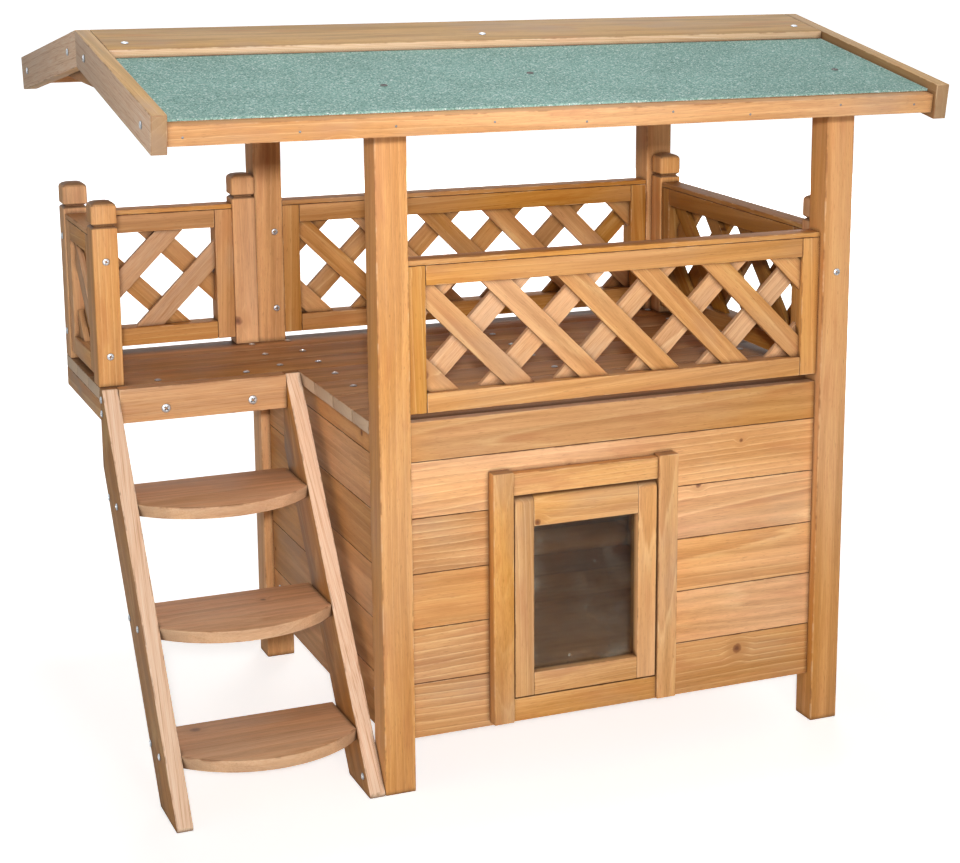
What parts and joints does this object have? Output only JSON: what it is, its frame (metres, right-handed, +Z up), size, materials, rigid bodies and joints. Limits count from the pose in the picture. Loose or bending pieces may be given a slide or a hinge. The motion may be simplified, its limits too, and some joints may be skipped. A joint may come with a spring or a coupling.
{
  "type": "outdoor cat house",
  "caption": "Timber outdoor cat house on posts with a lattice-railed deck and balcony, a ladder with rounded treads, a felted gable roof and a swinging cat flap with a clear pane.",
  "frame": {"origin": "on the ground, under the middle of the roof", "axes": "+X along the front to the right, +Y to the back, +Z up"},
  "size_m": [0.7726, 0.604, 0.718],
  "materials": {
    "stained_fir": "honey stain, satin",
    "deck_fir": "brown stain, satin",
    "trim_fir": "honey stain, satin",
    "mineral_felt": "green mineral granules",
    "zinc_steel": "bright zinc",
    "clear_acrylic": "clear, polished"
  },
  "bodies": {
    "house": {"post_front_left": "stained_fir", "post_front_right": "stained_fir", "post_rear_left": "stained_fir", "post_rear_right": "stained_fir", "front_wall_boards": "stained_fir", "left_wall_boards": "stained_fir", "right_wall_boards": "stained_fir", "rear_wall_boards": "stained_fir", "wall_battens": "stained_fir", "floor_panel": "stained_fir", "floor_bearers": "stained_fir", "door_trim_left": "trim_fir", "door_trim_right": "trim_fir", "door_trim_top": "trim_fir", "door_trim_bottom": "trim_fir", "flap_pins": "zinc_steel", "deck_boards_long": "deck_fir", "deck_boards_short": "deck_fir", "deck_joists": "stained_fir", "balcony_bearers": "stained_fir", "newel_balcony_front": "stained_fir", "newel_balcony_rear": "stained_fir", "newel_rear_left": "stained_fir", "newel_rear_right": "stained_fir", "newel_front_right": "stained_fir", "railing_balcony_end": "stained_fir", "railing_balcony_rear": "stained_fir", "railing_rear": "stained_fir", "railing_side": "stained_fir", "railing_front": "stained_fir", "lattice_balcony_end": "stained_fir", "lattice_balcony_rear": "stained_fir", "lattice_rear": "stained_fir", "lattice_side": "stained_fir", "lattice_front": "stained_fir", "ladder_stringer_left": "stained_fir", "ladder_stringer_right": "stained_fir", "ladder_top_board": "stained_fir", "tread_lower": "deck_fir", "tread_middle": "deck_fir", "tread_upper": "deck_fir", "roof_panel_front": "stained_fir", "roof_panel_rear": "stained_fir", "felt_front": "mineral_felt", "felt_rear": "mineral_felt", "barge_boards_left": "stained_fir", "barge_boards_right": "stained_fir", "eave_boards": "stained_fir", "ridge_boards": "stained_fir", "roof_bearers": "stained_fir", "ridge_cleats": "stained_fir", "deck_screws": "zinc_steel", "frame_screws": "zinc_steel", "roof_screws": "zinc_steel"},
    "flap": {"flap_stile_left": "trim_fir", "flap_stile_right": "trim_fir", "flap_rail_top": "trim_fir", "flap_rail_bottom": "trim_fir", "flap_pane": "clear_acrylic"}
  },
  "joints": [
    {"name": "flap_hinge", "type": "hinge", "parent": "house", "child": "flap", "pos_m": [0.041, -0.214, 0.275], "axis": [1, 0, 0], "range_deg": [-85, 85]}
  ]
}
